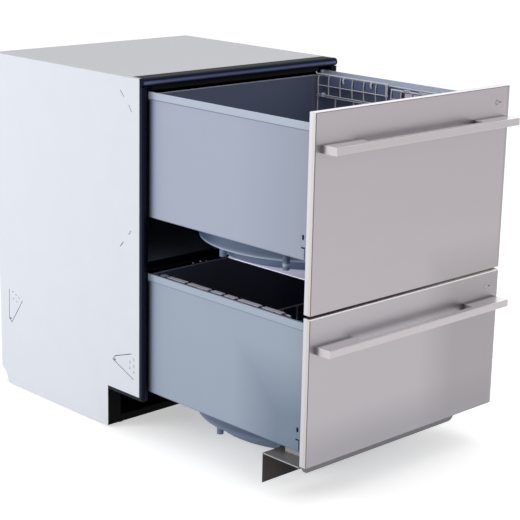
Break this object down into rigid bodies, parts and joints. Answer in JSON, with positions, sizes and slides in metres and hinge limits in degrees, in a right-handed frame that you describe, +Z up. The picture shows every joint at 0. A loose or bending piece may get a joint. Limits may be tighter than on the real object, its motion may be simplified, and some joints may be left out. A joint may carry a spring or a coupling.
{
  "type": "two-drawer dishwasher",
  "caption": "Built-in dishwasher with two full-width drawers, brushed steel fronts and bar handles, drawn with both drawers open.",
  "frame": {"origin": "on the floor, under the middle of the whole appliance as drawn with both drawers open", "axes": "+X to the right seen from the front, the front faces -Y, +Z up"},
  "size_m": [0.599, 1.101, 0.82],
  "materials": {
    "white_steel": "fine satin powder coat",
    "galvanised_steel": "dull zinc",
    "dark_plastic": "satin",
    "black_plastic": "matt",
    "grey_plastic": "satin",
    "lid_plastic": "satin",
    "stainless_steel": "brushed",
    "kick_steel": "satin",
    "rubber_seal": "matt",
    "zinc_rail": "satin zinc",
    "coated_wire": "smooth nylon coat",
    "slat_plastic": "satin",
    "white_plastic": "satin",
    "black_nylon": "matt",
    "circuit_board": "satin",
    "magnet": "coated"
  },
  "bodies": {
    "chassis": {"side_panel_left": "white_steel", "side_panel_right": "white_steel", "top_panel": "galvanised_steel", "back_panel": "galvanised_steel", "base_pan": "galvanised_steel", "recess_wall": "black_plastic", "side_trims": "dark_plastic", "top_trim": "dark_plastic", "mid_rail": "dark_plastic", "upper_case_rails": "zinc_rail", "lower_case_rails": "zinc_rail", "levelling_feet": "black_nylon", "lid_actuators": "black_plastic", "inlet_valve": "white_plastic", "drain_outlet": "black_plastic", "terminal_box": "black_plastic", "lid_hangers": "galvanised_steel"},
    "upper_drawer": {"upper_tub": "grey_plastic", "upper_front_panel": "stainless_steel", "upper_front_liner": "black_plastic", "upper_handle": "stainless_steel", "upper_tub_rails": "zinc_rail", "upper_wash_motor": "black_plastic", "upper_filter_plate": "lid_plastic", "upper_basket": "coated_wire", "upper_dispenser": "white_plastic", "upper_control_module": "circuit_board", "upper_drip_tray": "white_plastic"},
    "upper_middle_slides": {"upper_middle_rails": "zinc_rail"},
    "upper_lid_assembly": {"upper_lid": "lid_plastic", "upper_lid_gasket": "rubber_seal"},
    "upper_spray": {"upper_spray_arm": "slat_plastic"},
    "upper_rotor": {"upper_pump_rotor": "magnet"},
    "upper_dispenser_door": {"upper_dispenser_lid": "white_plastic"},
    "upper_left_cup_rack": {"upper_cup_rack_left": "coated_wire"},
    "upper_button": {"upper_start_button": "stainless_steel"},
    "lower_drawer": {"lower_tub": "grey_plastic", "lower_front_panel": "stainless_steel", "lower_front_liner": "black_plastic", "lower_handle": "stainless_steel", "lower_tub_rails": "zinc_rail", "lower_wash_motor": "black_plastic", "lower_filter_plate": "lid_plastic", "lower_basket": "coated_wire", "lower_dispenser": "white_plastic", "lower_control_module": "circuit_board", "kick_plate": "kick_steel", "kick_shelf": "kick_steel"},
    "lower_middle_slides": {"lower_middle_rails": "zinc_rail"},
    "lower_lid_assembly": {"lower_lid": "lid_plastic", "lower_lid_gasket": "rubber_seal"},
    "lower_spray": {"lower_spray_arm": "slat_plastic"},
    "lower_rotor": {"lower_pump_rotor": "magnet"},
    "lower_dispenser_door": {"lower_dispenser_lid": "white_plastic"},
    "lower_left_cup_rack": {"lower_cup_rack_left": "coated_wire"},
    "lower_button": {"lower_start_button": "stainless_steel"},
    "upper_rear_cup_rack": {"upper_cup_rack_rear": "coated_wire"},
    "upper_front_cup_rack": {"upper_cup_rack_front": "coated_wire"},
    "lower_right_cup_rack": {"lower_cup_rack_right": "coated_wire"}
  },
  "joints": [
    {"name": "upper_drawer_slide", "type": "slide", "parent": "chassis", "child": "upper_drawer", "axis": [0, 1, 0], "range_m": [0, 0.489]},
    {"name": "upper_middle_slide", "type": "slide", "parent": "chassis", "child": "upper_middle_slides", "axis": [0, 1, 0], "range_m": [0, 0.2445]},
    {"name": "upper_lid_lift", "type": "slide", "parent": "chassis", "child": "upper_lid_assembly", "axis": [0, 0, -1], "range_m": [0, 0.008]},
    {"name": "upper_spray_arm_spin", "type": "hinge", "parent": "upper_drawer", "child": "upper_spray", "pos_m": [0, -0.22, 0.517], "axis": [0, 0, 1], "continuous": true},
    {"name": "upper_pump_spin", "type": "hinge", "parent": "upper_drawer", "child": "upper_rotor", "pos_m": [0, -0.22, 0.457], "axis": [0, 0, 1], "continuous": true},
    {"name": "upper_dispenser_hinge", "type": "hinge", "parent": "upper_drawer", "child": "upper_dispenser_door", "pos_m": [-0.02, -0.4575, 0.659], "axis": [-1, 0, 0], "range_deg": [0, 100]},
    {"name": "upper_left_rack_fold", "type": "hinge", "parent": "upper_drawer", "child": "upper_left_cup_rack", "pos_m": [-0.24, -0.1955, 0.7393], "axis": [0, 1, 0], "range_deg": [0, 90]},
    {"name": "upper_start_press", "type": "slide", "parent": "upper_drawer", "child": "upper_button", "axis": [0, 1, 0], "range_m": [0, 0.001], "stiffness_N_per_m": 600},
    {"name": "lower_drawer_slide", "type": "slide", "parent": "chassis", "child": "lower_drawer", "axis": [0, 1, 0], "range_m": [0, 0.489]},
    {"name": "lower_middle_slide", "type": "slide", "parent": "chassis", "child": "lower_middle_slides", "axis": [0, 1, 0], "range_m": [0, 0.2445]},
    {"name": "lower_lid_lift", "type": "slide", "parent": "chassis", "child": "lower_lid_assembly", "axis": [0, 0, -1], "range_m": [0, 0.008]},
    {"name": "lower_spray_arm_spin", "type": "hinge", "parent": "lower_drawer", "child": "lower_spray", "pos_m": [0, -0.22, 0.115], "axis": [0, 0, 1], "continuous": true},
    {"name": "lower_pump_spin", "type": "hinge", "parent": "lower_drawer", "child": "lower_rotor", "pos_m": [0, -0.22, 0.055], "axis": [0, 0, 1], "continuous": true},
    {"name": "lower_dispenser_hinge", "type": "hinge", "parent": "lower_drawer", "child": "lower_dispenser_door", "pos_m": [-0.02, -0.4575, 0.257], "axis": [-1, 0, 0], "range_deg": [0, 100]},
    {"name": "lower_left_rack_fold", "type": "hinge", "parent": "lower_drawer", "child": "lower_left_cup_rack", "pos_m": [-0.24, -0.1955, 0.3373], "axis": [0, 1, 0], "range_deg": [0, 90]},
    {"name": "lower_start_press", "type": "slide", "parent": "lower_drawer", "child": "lower_button", "axis": [0, 1, 0], "range_m": [0, 0.001], "stiffness_N_per_m": 600},
    {"name": "upper_rear_rack_fold", "type": "hinge", "parent": "upper_drawer", "child": "upper_rear_cup_rack", "pos_m": [0.24, -0.1035, 0.7393], "axis": [0, -1, 0], "range_deg": [0, 90]},
    {"name": "upper_front_rack_fold", "type": "hinge", "parent": "upper_drawer", "child": "upper_front_cup_rack", "pos_m": [0.24, -0.3105, 0.7393], "axis": [0, -1, 0], "range_deg": [0, 90]},
    {"name": "lower_right_rack_fold", "type": "hinge", "parent": "lower_drawer", "child": "lower_right_cup_rack", "pos_m": [0.24, -0.1955, 0.3373], "axis": [0, -1, 0], "range_deg": [0, 90]}
  ],
  "couplings": [
    {"joint": "upper_middle_slide", "follows": "upper_drawer_slide", "ratio": 0.5},
    {"joint": "lower_middle_slide", "follows": "lower_drawer_slide", "ratio": 0.5}
  ]
}
